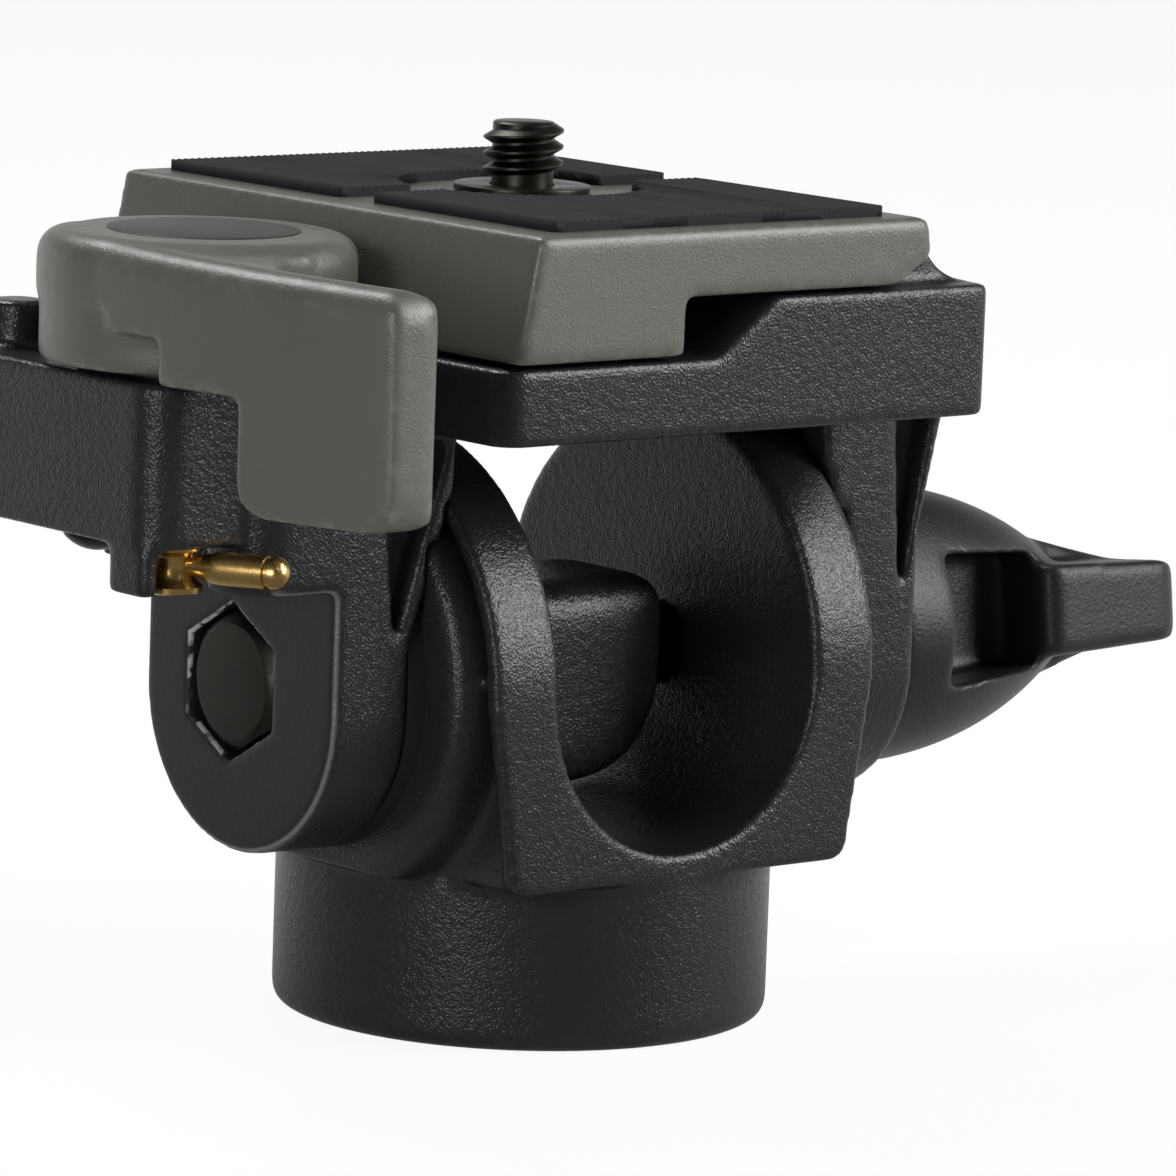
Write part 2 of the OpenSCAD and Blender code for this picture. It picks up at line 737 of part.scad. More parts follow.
// Half of the space round the pivot, from the given angle on
module half_space(angle) {
    translate([pivot_x, pivot_y, 0]) rotate([0, 0, angle]) translate([0, -50, 0])
        cube([50, 100, lever_top]);
}

// Apron below the hub, which hides the washer on the side away from the plate
module lever_apron() {
    apron_z = house_z + 0.4;
    apron_r = hub_r + hub_swell / 2 - 0.3;
    intersection() {
        translate([pivot_x, pivot_y, apron_z]) difference() {
            rotate([0, 0, away]) translate([hub_swell / 2, 0, 0])
                cylinder(r = apron_r, h = lever_top - 4 - apron_z);
            translate([0, 0, -cut]) cylinder(r = apron_r - 2.6, h = hub_z - apron_z + cut + eps);
        }
        half_space(away + 7);
    }
}

module qr_lever() {
    color("#55544e") difference() {
        union() {
            // Only the side away from the plate has upright walls
            intersection() {
                union() {
                    translate([pivot_x, pivot_y, lever_top]) rotate([0, 0, away])
                        translate([hub_swell / 2, 0, 0]) crowned(hub_r + hub_swell / 2, hub_h);
                    lever_arm();
                    lever_neck();
                }
                along_x(pivot_x - 2 * out_r, pivot_x + 2 * out_r) lever_side();
                half_space(away);
            }
            // Cone that clamps the plate's leaning flank
            translate([pivot_x, pivot_y, hub_z]) rotate_extrude()
                rounded_outline([[0, 0], [hub_low_r, 0], [hub_r, hub_h], [0, hub_h]], [0, 0, lever_round, 0]);
            lever_apron();
        }
        translate([pivot_x, pivot_y, hub_z - cut]) cylinder(r = pivot_thread_r + run, h = 6.4 + cut);
    }
}

module lever_pivot() {
    head_z = house_low + 0.2;
    shoulder_z = head_z + pivot_head_h - eps;
    color("#6f6f70") translate([pivot_x, pivot_y, 0]) {
        translate([0, 0, head_z]) cylinder(r = pivot_head_r, h = pivot_head_h);
        translate([0, 0, shoulder_z]) cylinder(r = shoulder_r, h = hub_z - shoulder_z);
        translate([0, 0, hub_z - eps]) cylinder(r = pivot_thread_r, h = 6);
    }
}

module lever_washer() {
    color("#8a8a86") ring(pivot_x, pivot_y, house_z, spring_pit_r + 2, shoulder_r + hole_gap,
        hub_z - house_z - face_gap);
}

module lever_spring() {
    wire_r = 0.55;
    turns = 4;
    pitch = (house_z - spring_pit_z - 2 * wire_r - 0.6) / turns;
    color("#77777a") translate([pivot_x, pivot_y, spring_pit_z + wire_r + 0.2])
        coil(spring_coil_r, wire_r, pitch, turns);
}

module safety_catch() {
    hub_top = house_low - face_gap;
    color("#b5893c") translate([catch_x, catch_y, 0]) {
        translate([0, 0, catch_low]) cylinder(r = catch_r, h = hub_top - catch_low);
        translate([0, 0, hub_top - eps]) cylinder(r = catch_r, h = catch_stem);
        rotate([0, 0, finger_turn]) translate([0, 0, finger_z]) {
            rotate([0, 90, 0]) cylinder(r = finger_r, h = finger_len - finger_r);
            translate([finger_len - finger_r, 0, 0]) sphere(finger_r);
        }
    }
}

module spring_screw() {
    head_r = 2.6;
    head_h = 2;
    color("#3b3b37") translate([anchor_x, anchor_y, house_low]) {
        translate([0, 0, -eps]) cylinder(r = anchor_r, h = 4.6);
        rotate_extrude() intersection() {
            translate([0, 1.4]) circle(head_r + 0.8);
            translate([0, -head_h]) square([head_r, head_h]);
        }
    }
}

// Trigger under the plate

module trigger_pin() {
    flange_z = trigger_low + trigger_spring_h;
    color("#b5893c") translate([trigger_x, trigger_y, flange_z]) {
        cylinder(r = trigger_r, h = plate_z - 0.15 - flange_z);
        cylinder(r = trigger_flange_r, h = flange_h);
    }
}

module trigger_spring() {
    wire_r = 0.15;
    turns = 2;
    coil_z = trigger_low + wire_r + 0.05;
    color("#77777a") translate([trigger_x, trigger_y, coil_z])
        coil(1.7, wire_r, (trigger_spring_h - 2 * wire_r - 0.1) / turns, turns);
}

module trigger_collar() {
    color("#6f6f70") ring(trigger_x, trigger_y, floor_z - collar_h, collar_r, trigger_r + run, collar_h);
}

// Plate, pads and camera screw

module plate_outline() {
    polygon([[plate_left - dovetail, plate_z], [flange_x, plate_z], [flange_x, web_z], [nose_root, web_z],
        [plate_right + nose, nose_z], [plate_right, plate_top], [plate_left, plate_top]]);
}

module quick_plate() {
    pocket_r = cam_head_d / 2 + 0.4;
    color("#57564f") difference() {
        intersection() {
            along_y(-plate_len / 2, plate_len / 2) plate_outline();
            linear_extrude(2 * plate_top) box_outline(plate_left - dovetail, -plate_len / 2,
                plate_right + nose, plate_len / 2, plate_corner);
        }
        translate([plate_off, 0, plate_z - cut]) cylinder(r = pocket_r, h = web_z + 2.9 - plate_z + cut);
        translate([plate_off, 0, plate_z]) cylinder(r = cam_d / 2 + run, h = plate_h + cut);
    }
}

// Pad in front of the screw; the rear pad is its mirror image
module pad() {
    half = plate_w / 2 - 2.8;
    end = plate_len / 2 - 2.2;
    color("#333335") translate([plate_off, 0, plate_top]) linear_extrude(pad_t) difference() {
        box_outline(-half, -end, half, -pad_gap / 2, 0.6);
        circle(9.8);
    }
}

module pad_front() {
    pad();
}

module pad_rear() {
    mirror([0, 1, 0]) pad();
}

module camera_screw() {
    head_h = 2.4;
    head_z = web_z + 2.9 - face_gap - head_h;
    tip_z = plate_top + cam_reach;
    tip_h = 0.7;
    color("#3a3a38") translate([plate_off, 0, 0]) {
        difference() {
            translate([0, 0, head_z]) cylinder(d = cam_head_d, h = head_h);
            translate([-cam_head_d, -0.9, head_z - cut]) cube([2 * cam_head_d, 1.8, 1.2 + cut]);
        }
        translate([0, 0, head_z + cut]) cylinder(r = neck_d / 2, h = thread_z - head_z);
        translate([0, 0, thread_z]) cylinder(d = cam_d, h = tip_z - tip_h - thread_z);
        translate([0, 0, tip_z - tip_h]) cylinder(d1 = cam_d, d2 = cam_d - 1.3, h = tip_h);
    }
}

module screw_clip() {
    color("#8a8a86") ring(plate_off, 0, plate_top + face_gap, clip_r, neck_d / 2, clip_t);
}

base_casting();
friction_disc(-1);  // friction_disc_left
friction_disc(1);  // friction_disc_right
platform_casting();
tilt_bolt();
thrust_washer();
spring_washer();
spring_screw();
lever_washer();
lever_spring();
trigger_collar();
trigger_spring();
trigger_pin();
qr_lever();
lever_pivot();
safety_catch();
tilt_knob();
knob_nut();
quick_plate();
pad_front();
pad_rear();
camera_screw();
screw_clip();
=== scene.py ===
# %% [markdown]
# This notebook dresses a monopod head: a round foot with a U-shaped fork, a platform that tilts on
# one bolt, a winged knob that clamps the tilt, and a grey quick-release plate under a cam lever.
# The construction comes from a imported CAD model, which is loaded first and never moved.
# Every later cell only adds finishes and finer skins, so each piece stays where the CAD put it.

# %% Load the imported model
import json
import math

import bmesh
import bpy
import numpy as np
from mathutils import Matrix, Vector


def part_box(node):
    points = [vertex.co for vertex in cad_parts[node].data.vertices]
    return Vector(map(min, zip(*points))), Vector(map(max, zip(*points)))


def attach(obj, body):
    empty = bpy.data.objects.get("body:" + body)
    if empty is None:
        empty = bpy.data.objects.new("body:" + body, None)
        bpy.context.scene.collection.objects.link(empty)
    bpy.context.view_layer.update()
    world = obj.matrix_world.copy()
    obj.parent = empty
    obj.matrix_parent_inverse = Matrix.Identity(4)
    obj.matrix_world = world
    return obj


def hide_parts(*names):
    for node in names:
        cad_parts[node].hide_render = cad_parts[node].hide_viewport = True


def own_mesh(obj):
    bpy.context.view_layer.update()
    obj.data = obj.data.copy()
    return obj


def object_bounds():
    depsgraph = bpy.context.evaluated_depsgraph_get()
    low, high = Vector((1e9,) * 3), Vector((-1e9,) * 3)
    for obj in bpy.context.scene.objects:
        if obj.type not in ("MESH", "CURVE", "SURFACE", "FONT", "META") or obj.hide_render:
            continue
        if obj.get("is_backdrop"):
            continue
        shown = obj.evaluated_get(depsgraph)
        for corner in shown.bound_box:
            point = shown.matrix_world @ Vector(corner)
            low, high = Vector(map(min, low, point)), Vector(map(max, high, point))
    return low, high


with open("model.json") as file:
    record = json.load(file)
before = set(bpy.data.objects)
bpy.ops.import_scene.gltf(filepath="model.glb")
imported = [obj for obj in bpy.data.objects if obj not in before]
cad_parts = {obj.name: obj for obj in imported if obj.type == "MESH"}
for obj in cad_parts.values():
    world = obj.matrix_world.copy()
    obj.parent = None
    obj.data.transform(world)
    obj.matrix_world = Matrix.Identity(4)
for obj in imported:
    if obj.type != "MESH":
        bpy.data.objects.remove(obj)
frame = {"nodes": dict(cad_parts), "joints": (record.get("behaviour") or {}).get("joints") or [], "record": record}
cad_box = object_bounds()

# %% [markdown]
# Everything in the scene is in metres, but this object is easier to think of in millimetres, so
# one constant converts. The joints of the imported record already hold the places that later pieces
# are built around: the tilt bolt, the lever's pivot, the catch and the camera screw. Points nearer
# to each other than a thousandth of a millimetre count as touching.

# %% Shared measures
MM = 0.001
TOUCHING = 0.001 * MM
with_place = [joint for joint in frame["joints"] if "pos_m" in joint]
joint_place = {joint["name"]: Vector(joint["pos_m"]) for joint in with_place}
tilt_axis = joint_place["head_tilt"]
catch_axis = joint_place["catch_swing"]
screw_axis = joint_place["screw_turn"]
scene = bpy.context.scene
print("tilt axis height in mm:", round(tilt_axis.z / MM, 2))

# %% [markdown]
# The camera stands where the photographer stood: low, in front and to the left, with a long lens.
# It could be aimed with a constraint, but a plain matrix made of right, up and back directions says
# exactly how the picture is held, including the slight roll of about two degrees.

# %% Camera at the photograph's angle
PHOTO_SIZE = 1176
FOCAL_PIXELS = 7448.4
camera_place = Vector((-371.48, -453.34, 123.67)) * MM
camera_view = Vector((0.632245, 0.759798, -0.151570)).normalized()
camera_up = Vector((0.069100, 0.139555, 0.987800))
camera_right = camera_view.cross(camera_up).normalized()
camera_up = camera_right.cross(camera_view)

camera_data = bpy.data.cameras.new("photo_camera")
camera_data.lens = FOCAL_PIXELS * camera_data.sensor_width / PHOTO_SIZE
camera = bpy.data.objects.new("photo_camera", camera_data)
scene.collection.objects.link(camera)
axes = Matrix((camera_right, camera_up, -camera_view)).transposed()
camera.matrix_world = Matrix.Translation(camera_place) @ axes.to_4x4()
scene.camera = camera
print("lens in mm:", round(camera_data.lens, 1))

# %% [markdown]
# Shader graphs are easier to read as sums than as wires. This small class wraps one output socket:
# adding, multiplying or limiting it adds the Math node that does it.

# %% Shader maths as Python
class Wire:
    """An output socket whose operators add Math nodes."""

    def __init__(self, graph, socket):
        self.graph = graph
        self.socket = socket

    def math(self, operation, first, second):
        return self.graph.node("ShaderNodeMath", {"operation": operation}, {0: first, 1: second})

    def __add__(self, other):
        return self.math("ADD", self, other)

    __radd__ = __add__

    def __mul__(self, other):
        return self.math("MULTIPLY", self, other)

    def __sub__(self, other):
        return self.math("SUBTRACT", self, other)

    def __rsub__(self, other):
        return self.math("SUBTRACT", other, self)

    def __abs__(self):
        return self.math("ABSOLUTE", self, 0)

    def at_least(self, other):
        return self.math("MAXIMUM", self, other)

    def at_most(self, other):
        return self.math("MINIMUM", self, other)

    def root(self):
        return self.math("SQRT", self, 0)

    def over(self, low, high):
        """0 below low, 1 above high, and a straight ramp between."""
        sockets = {"Value": self, "From Min": low, "From Max": high}
        return self.graph.node("ShaderNodeMapRange", {"clamp": True}, sockets)

    def band(self, rise, fall):
        """1 between two ramps, each given by its ends, and 0 outside them."""
        return self.over(*rise) - self.over(*fall)


# %% [markdown]
# A second class keeps one node tree, of a material or of the world. It has a single way of adding
# any node: the type, the settings, then the values or links of its sockets. The rest are short
# names for the nodes that come up again and again.

# %% Node trees
class Graph:
    """The node tree of a material or of the world."""

    def __init__(self, owner):
        owner.use_nodes = True
        self.owner = owner
        self.tree = owner.node_tree
        self.tree.nodes.clear()

    def node(self, kind, settings=None, sockets=None, out=0):
        made = self.tree.nodes.new(kind)
        for name, value in (settings or {}).items():
            setattr(made, name, value)
        for name, value in (sockets or {}).items():
            if isinstance(value, Wire):
                self.tree.links.new(value.socket, made.inputs[name])
            else:
                made.inputs[name].default_value = value
        return Wire(self, made.outputs[out]) if made.outputs else None

    def place(self):
        return self.node("ShaderNodeTexCoord", out="Object")

    def along(self, axis, place):
        """One coordinate of a place or of a direction."""
        return self.node("ShaderNodeSeparateXYZ", {}, {0: place}, out=axis)

    def millimetres(self):
        """The place on the object as three numbers."""
        place = self.place()
        return [self.along(axis, place) * (1 / MM) for axis in "XYZ"]

    def noise(self, size, detail=2.0):
        """Soft noise whose lumps are about size metres across."""
        sockets = {"Vector": self.place(), "Scale": 1 / size, "Detail": detail}
        return self.node("ShaderNodeTexNoise", {}, sockets)

    def painted(self, name):
        """A number that the mesh carries at each of its points."""
        return self.node("ShaderNodeAttribute", {"attribute_name": name}, out="Fac")

    def mix(self, share, first, second):
        """One colour over another."""
        sockets = {0: share, 6: first, 7: second}
        return self.node("ShaderNodeMix", {"data_type": "RGBA"}, sockets, out=2)

    def mix_shaders(self, share, first, second):
        return self.node("ShaderNodeMixShader", {}, {0: share, 1: first, 2: second})

    def bump(self, height, depth):
        return self.node("ShaderNodeBump", {}, {"Height": height, "Distance": depth})

    def principled(self, **sockets):
        """The Principled shader as the surface; underscores stand for spaces."""
        named = {name.replace("_", " "): value for name, value in sockets.items()}
        return self.ends_in(self.node("ShaderNodeBsdfPrincipled", {}, named))

    def ends_in(self, shader, kind="ShaderNodeOutputMaterial"):
        self.node(kind, {}, {"Surface": shader})
        return self.owner


def new_finish(name):
    return Graph(bpy.data.materials.new(name))


def screen_colour(red, green, blue):
    """A colour read off a screen, 0 to 255, as the linear light that shaders use."""
    linear = [((level / 255 + 0.055) / 1.055) ** 2.4 for level in (red, green, blue)]
    return (*linear, 1.0)


# %% [markdown]
# The left ear's outer face was milled flat after casting, so it is smoother than the coat round it.
# A thin line along its rim is a painted highlight, and the lip of the hexagon is chipped down to
# bare metal. Lines this fine would need a very dense mesh if they were painted on it, so the shader
# works them out from the place on the object: the distance from the ear's round end, and across
# the hexagon's flats.

# %% Milled face of the ear
EAR_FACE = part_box("tilt_bolt")[0].x / MM - 0.2
EAR_MIDDLE = (-1.2, tilt_axis.z / MM - 1.0)
EAR_RADIUS = 12.2
EAR_TOP = tilt_axis.z / MM + 9.5
# The thin band along the ear's rim that carries a painted highlight, and how strongly it shows.
RIM_HIGHLIGHT_RISE = (EAR_RADIUS - 0.55, EAR_RADIUS - 0.40)
RIM_HIGHLIGHT_FALL = (EAR_RADIUS - 0.25, EAR_RADIUS - 0.10)
RIM_HIGHLIGHT_SHARE = 0.30
HEXAGON = 5.35
FLAT_NORMAL = (0.5, 0.866)
LIP_RISE = (HEXAGON - 0.12, HEXAGON)
LIP_FALL = (HEXAGON + 0.14, HEXAGON + 0.26)


def milled_ear(finish):
    """How far each place is milled, its bare chips, and its painted rim highlight."""
    x, y, z = finish.millimetres()
    below_top = (EAR_TOP - z).over(0, 0.5)
    milled = (EAR_FACE + 0.12 - x).over(0, 0.05) * below_top
    edge_zone = (EAR_FACE + 0.5 - x).over(0, 0.1) * below_top
    aside = y - EAR_MIDDLE[0]
    below = (z - EAR_MIDDLE[1]).at_most(0)
    reach = (aside * aside + below * below).root()
    # A painted highlight: a thin light grey band along the ear's rounded edge.
    rim_highlight = reach.band(RIM_HIGHLIGHT_RISE, RIM_HIGHLIGHT_FALL)
    sideways, upwards = y * FLAT_NORMAL[0], (z - tilt_axis.z / MM) * FLAT_NORMAL[1]
    slants = abs(sideways + upwards).at_least(abs(sideways - upwards))
    lip = abs(y).at_least(slants).band(LIP_RISE, LIP_FALL)
    chips = finish.noise(1.6 * MM).over(0.44, 0.56)
    return milled, (rim_highlight * RIM_HIGHLIGHT_SHARE + lip * chips) * edge_zone


print("ear face at", round(EAR_FACE, 2), "mm")

# %% [markdown]
# The fork, the platform and the foot are aluminium castings under a black textured powder coat.
# Close up the coat is a skin of fine grains, a fifth of a millimetre across, that glitter where
# light grazes them. The grains drive a bump, so the sparkle comes from the light itself.
# The mesh carries one painted number, the wear of its convex edges.

# %% Black powder coat
GRAIN = 0.20 * MM


def powder_coat(name, milling=None):
    finish = new_finish(name)
    milled, bare_chips_and_rim_highlight = milling(finish) if milling else (0.0, 0.0)
    grains = finish.noise(GRAIN, detail=1.0)
    lumps = finish.noise(3 * GRAIN, detail=0.0)
    patches = finish.noise(9 * MM)
    wear = finish.painted("edge_wear")
    relief = (grains + lumps * 0.6) * (1 - milled * 0.75)
    black = finish.mix(patches, screen_colour(26, 26, 28), screen_colour(32, 32, 34))
    rubs = wear * lumps.over(0.50, 0.66) * 0.10
    rubbed = finish.mix(rubs, black, screen_colour(70, 70, 72))
    return finish.principled(
        # Light grey where the hexagon's lip is chipped bare, and along the ear's rim as a painted highlight.
        Base_Color=finish.mix(bare_chips_and_rim_highlight, rubbed, screen_colour(150, 150, 150)),
        Roughness=0.26 + lumps * 0.10 + milled * 0.14,
        Specular_IOR_Level=0.36,
        Normal=finish.bump(relief, 0.065 * MM),
    )


black_casting = powder_coat("powder_coat")
milled_casting = powder_coat("powder_coat_milled", milled_ear)
print("made", black_casting.name, milled_casting.name)

# %% [markdown]
# The lever and the plate wear a warm olive-grey paint over the same cast skin. Its grains are
# flatter than those of the black coat and have a satin sheen, so light that grazes the lever's top
# makes it pale while its upright side stays dark.

# %% Grey casting paint
def grey_paint():
    finish = new_finish("grey_paint")
    grains = finish.noise(0.22 * MM, detail=1.0)
    lumps = finish.noise(1.1 * MM, detail=0.0)
    patches = finish.noise(8 * MM)
    wear = finish.painted("edge_wear")
    plain = finish.mix(patches, screen_colour(77, 76, 70), screen_colour(84, 83, 77))
    rubs = wear * lumps.over(0.52, 0.66) * 0.15
    return finish.principled(
        Base_Color=finish.mix(rubs, plain, screen_colour(140, 139, 132)),
        Roughness=0.34 + lumps * 0.12,
        Specular_IOR_Level=0.5,
        Normal=finish.bump(grains + lumps * 0.6, 0.030 * MM),
    )


grey_casting = grey_paint()
print("made", grey_casting.name)

# %% [markdown]
# The knob is moulded: a black plastic with a faint satin texture, smoother than the castings.

# %% Knob plastic
def knob_plastic():
    finish = new_finish("knob_plastic")
    grain = finish.noise(0.30 * MM, detail=1.5)
    patches = finish.noise(6 * MM)
    wear = finish.painted("edge_wear")
    black = finish.mix(patches, screen_colour(15, 15, 16), screen_colour(20, 20, 21))
    return finish.principled(
        Base_Color=finish.mix(wear * 0.08, black, screen_colour(60, 60, 61)),
        Roughness=0.36 + grain * 0.14,
        Specular_IOR_Level=0.34,
        Normal=finish.bump(grain, 0.040 * MM),
    )


knob_black = knob_plastic()
print("made", knob_black.name)

# %% [markdown]
# Small metal pieces: polished brass for the catch, a dark oiled steel for the bolt and the screws,
# and bare bright steel for washers and springs. Metal shows its surroundings, so faint scratches in
# the roughness do more for it than any change of colour.

# %% Brass and steels
SCRATCH = 0.15


def metal(name, dark, light, roughness):
    finish = new_finish(name)
    patches = finish.noise(2.5 * MM, detail=3.0)
    scratches = finish.noise(0.15 * MM, detail=3.0)
    return finish.principled(
        Base_Color=finish.mix(patches, screen_colour(*dark), screen_colour(*light)),
        Metallic=1.0,
        Roughness=roughness + (scratches - 0.5) * SCRATCH + patches * 0.08,
        Normal=finish.bump(scratches, 0.004 * MM),
    )


brass = metal("brass", (200, 160, 92), (224, 190, 124), roughness=0.24)
dark_steel = metal("dark_steel", (44, 44, 40), (62, 61, 56), roughness=0.34)
bright_steel = metal("bright_steel", (128, 128, 126), (160, 159, 156), roughness=0.28)
print("made", brass.name, dark_steel.name, bright_steel.name)

# %% [markdown]
# The friction discs are pressed fibre, and the pads are rubber: both dull, with a fine mottled
# grain and no mirror in them at all.

# %% Rubber and fibre
def dull(name, dark, light, size, depth):
    finish = new_finish(name)
    grain = finish.noise(size, detail=3.0)
    mottle = grain * 0.6 + finish.noise(5 * MM) * 0.4
    return finish.principled(
        Base_Color=finish.mix(mottle, screen_colour(*dark), screen_colour(*light)),
        Roughness=0.78 + grain * 0.14,
        Specular_IOR_Level=0.18,
        Normal=finish.bump(grain, depth),
    )


rubber = dull("rubber", (32, 32, 34), (45, 45, 47), size=0.20 * MM, depth=0.02 * MM)
fibre = dull("fibre", (24, 24, 23), (34, 33, 31), size=0.4 * MM, depth=0.03 * MM)
print("made", rubber.name, fibre.name)

# %% [markdown]
# A casting has no sharp edges: sand, shot blast and paint leave every corner with a radius of about
# a millimetre. Bevelling a triangulated CAD mesh edge by edge would fail where curves meet, so the
# copy is remeshed into an even skin first. Every new piece is a mesh at the origin, which is told
# the body that it rides on and its material.

# %% New pieces and even skins
def new_piece(name, bm, material, body, crease=180):
    """A mesh object at the origin that rides on a body; edges bent more than crease stay sharp."""
    mesh = bpy.data.meshes.new(name)
    bm.to_mesh(mesh)
    bm.free()
    mesh.materials.append(material)
    mesh.shade_smooth()
    mesh.set_sharp_from_angle(angle=math.radians(crease))
    piece = bpy.data.objects.new(name, mesh)
    scene.collection.objects.link(piece)
    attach(piece, body)
    return piece


def evenly_remeshed(node, voxel):
    """A CAD node's copy, merged and remeshed, as a bmesh."""
    merged = bmesh.new()
    merged.from_mesh(frame["nodes"][node].data)
    bmesh.ops.remove_doubles(merged, verts=merged.verts, dist=TOUCHING)
    mesh = bpy.data.meshes.new("remesh_source")
    merged.to_mesh(mesh)
    merged.free()
    source = bpy.data.objects.new("remesh_source", mesh)
    scene.collection.objects.link(source)
    skin = source.modifiers.new("even_skin", "REMESH")
    skin.mode = "VOXEL"
    skin.voxel_size = voxel
    bm = bmesh.new()
    bm.from_object(source, bpy.context.evaluated_depsgraph_get())
    bpy.data.objects.remove(source)
    bpy.data.meshes.remove(mesh)
    return bm


# %% [markdown]
# The even skin is then relaxed, which rounds all edges at once. How far each point sank while
# relaxing tells how convex it is, and that becomes the edge wear: a point is worn through when it
# sank by WORN_SINK of the skin's grid.

# %% Softened edges and their wear
EXTRA_ROUNDS = 70
LAST_ROUNDS = 2
WORN_SINK = 0.45


def points_of(bm):
    return np.array([vert.co for vert in bm.verts])


def paint(bm, name, values):
    layer = bm.verts.layers.float.new(name)
    for vert, value in zip(bm.verts, values):
        vert[layer] = float(value)


def relax(bm, verts, rounds):
    for _ in range(rounds):
        bmesh.ops.smooth_vert(bm, verts=verts, factor=0.5,
                              use_axis_x=True, use_axis_y=True, use_axis_z=True)


def softened(node, rounds, voxel=0.30 * MM, crisp=None, softest=None):
    """An even skin over a CAD node with rounded edges and its wear painted on.

    crisp and softest tell which points are kept back and which go on for more rounds.
    """
    bm = evenly_remeshed(node, voxel)
    before = points_of(bm)
    soft = [vert for vert in bm.verts if crisp is None or not crisp(vert.co)]
    relax(bm, soft, rounds)
    relax(bm, [vert for vert in bm.verts if softest and softest(vert.co)], EXTRA_ROUNDS)
    relax(bm, bm.verts[:], LAST_ROUNDS)
    bm.normal_update()
    normals = np.array([vert.normal for vert in bm.verts])
    sunk = np.einsum("ij,ij->i", before - points_of(bm), normals)
    paint(bm, "edge_wear", np.clip(sunk / (WORN_SINK * voxel), 0, 1))
    return bm


# %% [markdown]
# A skin as fine as that is heavy. Where it lies flat it doesn't need its small faces, so the larger
# pieces are thinned to a number of triangles that a shared library can carry.

# %% Castings light enough to keep
MOST_TRIANGLES = 150_000


def thinned(piece):
    """Collapse flat stretches until the piece is light enough to keep."""
    triangles = sum(len(face.vertices) - 2 for face in piece.data.polygons)
    if triangles <= MOST_TRIANGLES:
        return
    shrink = piece.modifiers.new("thinned", "DECIMATE")
    shrink.ratio = MOST_TRIANGLES / triangles
    shrunk = piece.evaluated_get(bpy.context.evaluated_depsgraph_get())
    light = bpy.data.meshes.new_from_object(shrunk)
    piece.modifiers.clear()
    piece.data = light


def cast_piece(node, material, body, slot, rounds, **options):
    piece = new_piece(node + "_skin", softened(node, rounds, **options), material, body)
    full = len(piece.data.polygons)
    thinned(piece)
    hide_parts(node)
    print(piece.name, "faces:", full, "kept:", len(piece.data.polygons))


# %% [markdown]
# The three black pieces take the same softening. It is held back round the hexagon in the left ear,
# because a broached recess has crisp edges that casting never gives, and in the bore of the sprung
# pin, which would close in on the pin. The bolt's boss inside the channel goes on for many more
# rounds, since in the photograph its edges are rounded by two millimetres, but its bore is left out
# so that the bolt still fits.

# %% Fork, platform and knob
HEX_REACH = 6.9 * MM
HEX_END = (EAR_FACE + 6) * MM
BORE_REACH = 3.6 * MM
BOSS_REACH = 12.4 * MM
BOSS_HALF_WIDTH = 7.4 * MM
BOLT_ROOM = 3.8 * MM
pin_axis = sum(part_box("trigger_pin"), Vector()) / 2


def from_bolt(point):
    return math.hypot(point.y, point.z - tilt_axis.z)


def worked_after_casting(point):
    in_hexagon = from_bolt(point) < HEX_REACH and point.x < HEX_END
    return in_hexagon or math.hypot(point.x - pin_axis.x, point.y - pin_axis.y) < BORE_REACH


def on_boss(point):
    in_channel = math.hypot(point.x, point.z - tilt_axis.z) < BOSS_REACH
    return in_channel and abs(point.y) < BOSS_HALF_WIDTH and from_bolt(point) > BOLT_ROOM


cast_piece("base_casting", black_casting, "base", "casting", rounds=10, softest=on_boss)
cast_piece("platform_casting", milled_casting, "head", "casting", rounds=8,
           crisp=worked_after_casting)
cast_piece("tilt_knob", knob_black, "knob", "knob", rounds=24, voxel=0.28 * MM)

# %% [markdown]
# The lever has generous soft edges, as a thing for thumbs should, while the plate is a die casting
# with tighter ones. Both go through the same softening with a different number of passes.

# %% Lever and plate
cast_piece("qr_lever", grey_casting, "lever", "grey_casting", rounds=12)
cast_piece("quick_plate", grey_casting, "plate", "grey_casting", rounds=9)

# %% [markdown]
# The pads are ribbed rubber. A texture could fake the ribs, but their edge shows as a row of teeth,
# so they are cut for real: the pad's copy is sliced along every rib, and its top is pressed into a
# wave.

# %% Ribbed pads
RIB_PITCH = 0.66 * MM
RIB_DEPTH = 0.16 * MM


def merged_copy(node):
    """A CAD node's mesh with its loose triangles joined and its flat faces made whole."""
    bm = bmesh.new()
    bm.from_mesh(frame["nodes"][node].data)
    bmesh.ops.remove_doubles(bm, verts=bm.verts, dist=TOUCHING)
    bmesh.ops.dissolve_limit(bm, angle_limit=math.radians(0.5), verts=bm.verts, edges=bm.edges)
    return bm


def all_of(bm):
    return bm.verts[:] + bm.edges[:] + bm.faces[:]


def slice_along_x(bm, first, last, step):
    """Cut the mesh at every step between first and last."""
    for place in np.arange(first + step, last - step / 4, step):
        bmesh.ops.bisect_plane(bm, geom=all_of(bm), dist=TOUCHING / 2,
                               plane_co=(place, 0, 0), plane_no=(1, 0, 0))


def ribbed_pad(node):
    low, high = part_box(node)
    bm = merged_copy(node)
    slice_along_x(bm, low.x, high.x, RIB_PITCH / 2)
    for vert in bm.verts:
        if vert.co.z > high.z - 0.01 * MM:
            phase = (vert.co.x - low.x) / RIB_PITCH % 1
            vert.co.z -= RIB_DEPTH * abs(2 * phase - 1)
    bmesh.ops.triangulate(bm, faces=bm.faces[:])
    piece = new_piece(node + "_ribbed", bm, rubber, "plate", crease=50)
    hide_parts(node)
    print(piece.name, "faces:", len(piece.data.polygons))


for pad in ("pad_front", "pad_rear"):
    ribbed_pad(pad)

# %% [markdown]
# Screws have real threads. A closed little profile is spun round the axis and lifted by one pitch
# per turn, which gives a ridge that stands on a turned core. The camera screw is a quarter inch
# with 20 turns to the inch, and the hole in the foot is three eighths with 16.

